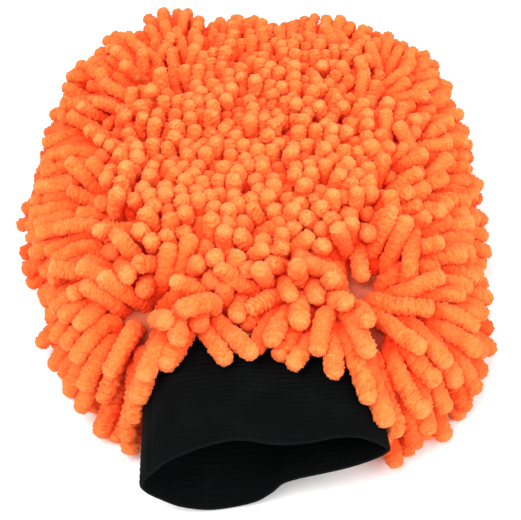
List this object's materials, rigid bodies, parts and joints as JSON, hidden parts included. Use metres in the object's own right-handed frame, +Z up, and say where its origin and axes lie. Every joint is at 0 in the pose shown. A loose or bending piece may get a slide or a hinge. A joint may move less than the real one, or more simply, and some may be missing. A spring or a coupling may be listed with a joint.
{
  "type": "wash mitt",
  "caption": "Chenille microfibre wash mitt: a soft hand pocket covered in noodle pile on both faces, with an elastic wrist cuff.",
  "frame": {"origin": "on the surface that the mitt lies on, under the middle of its bounding box", "axes": "+Y towards the fingertip end, so the cuff opens along -Y; +Z up out of the back of the mitt, with the palm face down; +X completes a right-handed set"},
  "size_m": [0.232, 0.304, 0.076],
  "materials": {
    "chenille_pile": "soft chenille noodles with a short dense nap",
    "mesh_backing": "fine knitted mesh",
    "lining_cloth": "smooth woven polyester",
    "cuff_elastic": "ribbed woven elastic, matt",
    "elastic_rubber": "covered round rubber thread",
    "orange_thread": "spun polyester sewing thread",
    "black_thread": "spun polyester sewing thread"
  },
  "bodies": {
    "root": {"back_lining": "lining_cloth", "back_panel": "mesh_backing", "back_pile_center": "chenille_pile", "back_pile_cuff_end": "chenille_pile", "back_pile_fingertip": "chenille_pile", "back_pile_left": "chenille_pile", "back_pile_right": "chenille_pile", "cuff_band": "cuff_elastic", "cuff_join_allowance": "cuff_elastic", "cuff_join_stitches": "black_thread", "cuff_rubber_threads": "elastic_rubber", "cuff_seam_allowance": "cuff_elastic", "cuff_seam_stitches": "black_thread", "fingertip_seam": "mesh_backing", "fingertip_seam_stitches": "orange_thread", "left_side_seam": "mesh_backing", "left_side_seam_stitches": "orange_thread", "palm_lining": "lining_cloth", "palm_panel": "mesh_backing", "palm_pile_center": "chenille_pile", "palm_pile_cuff_end": "chenille_pile", "palm_pile_fingertip": "chenille_pile", "palm_pile_left": "chenille_pile", "palm_pile_right": "chenille_pile", "right_side_seam": "mesh_backing", "right_side_seam_stitches": "orange_thread"}
  },
  "joints": []
}
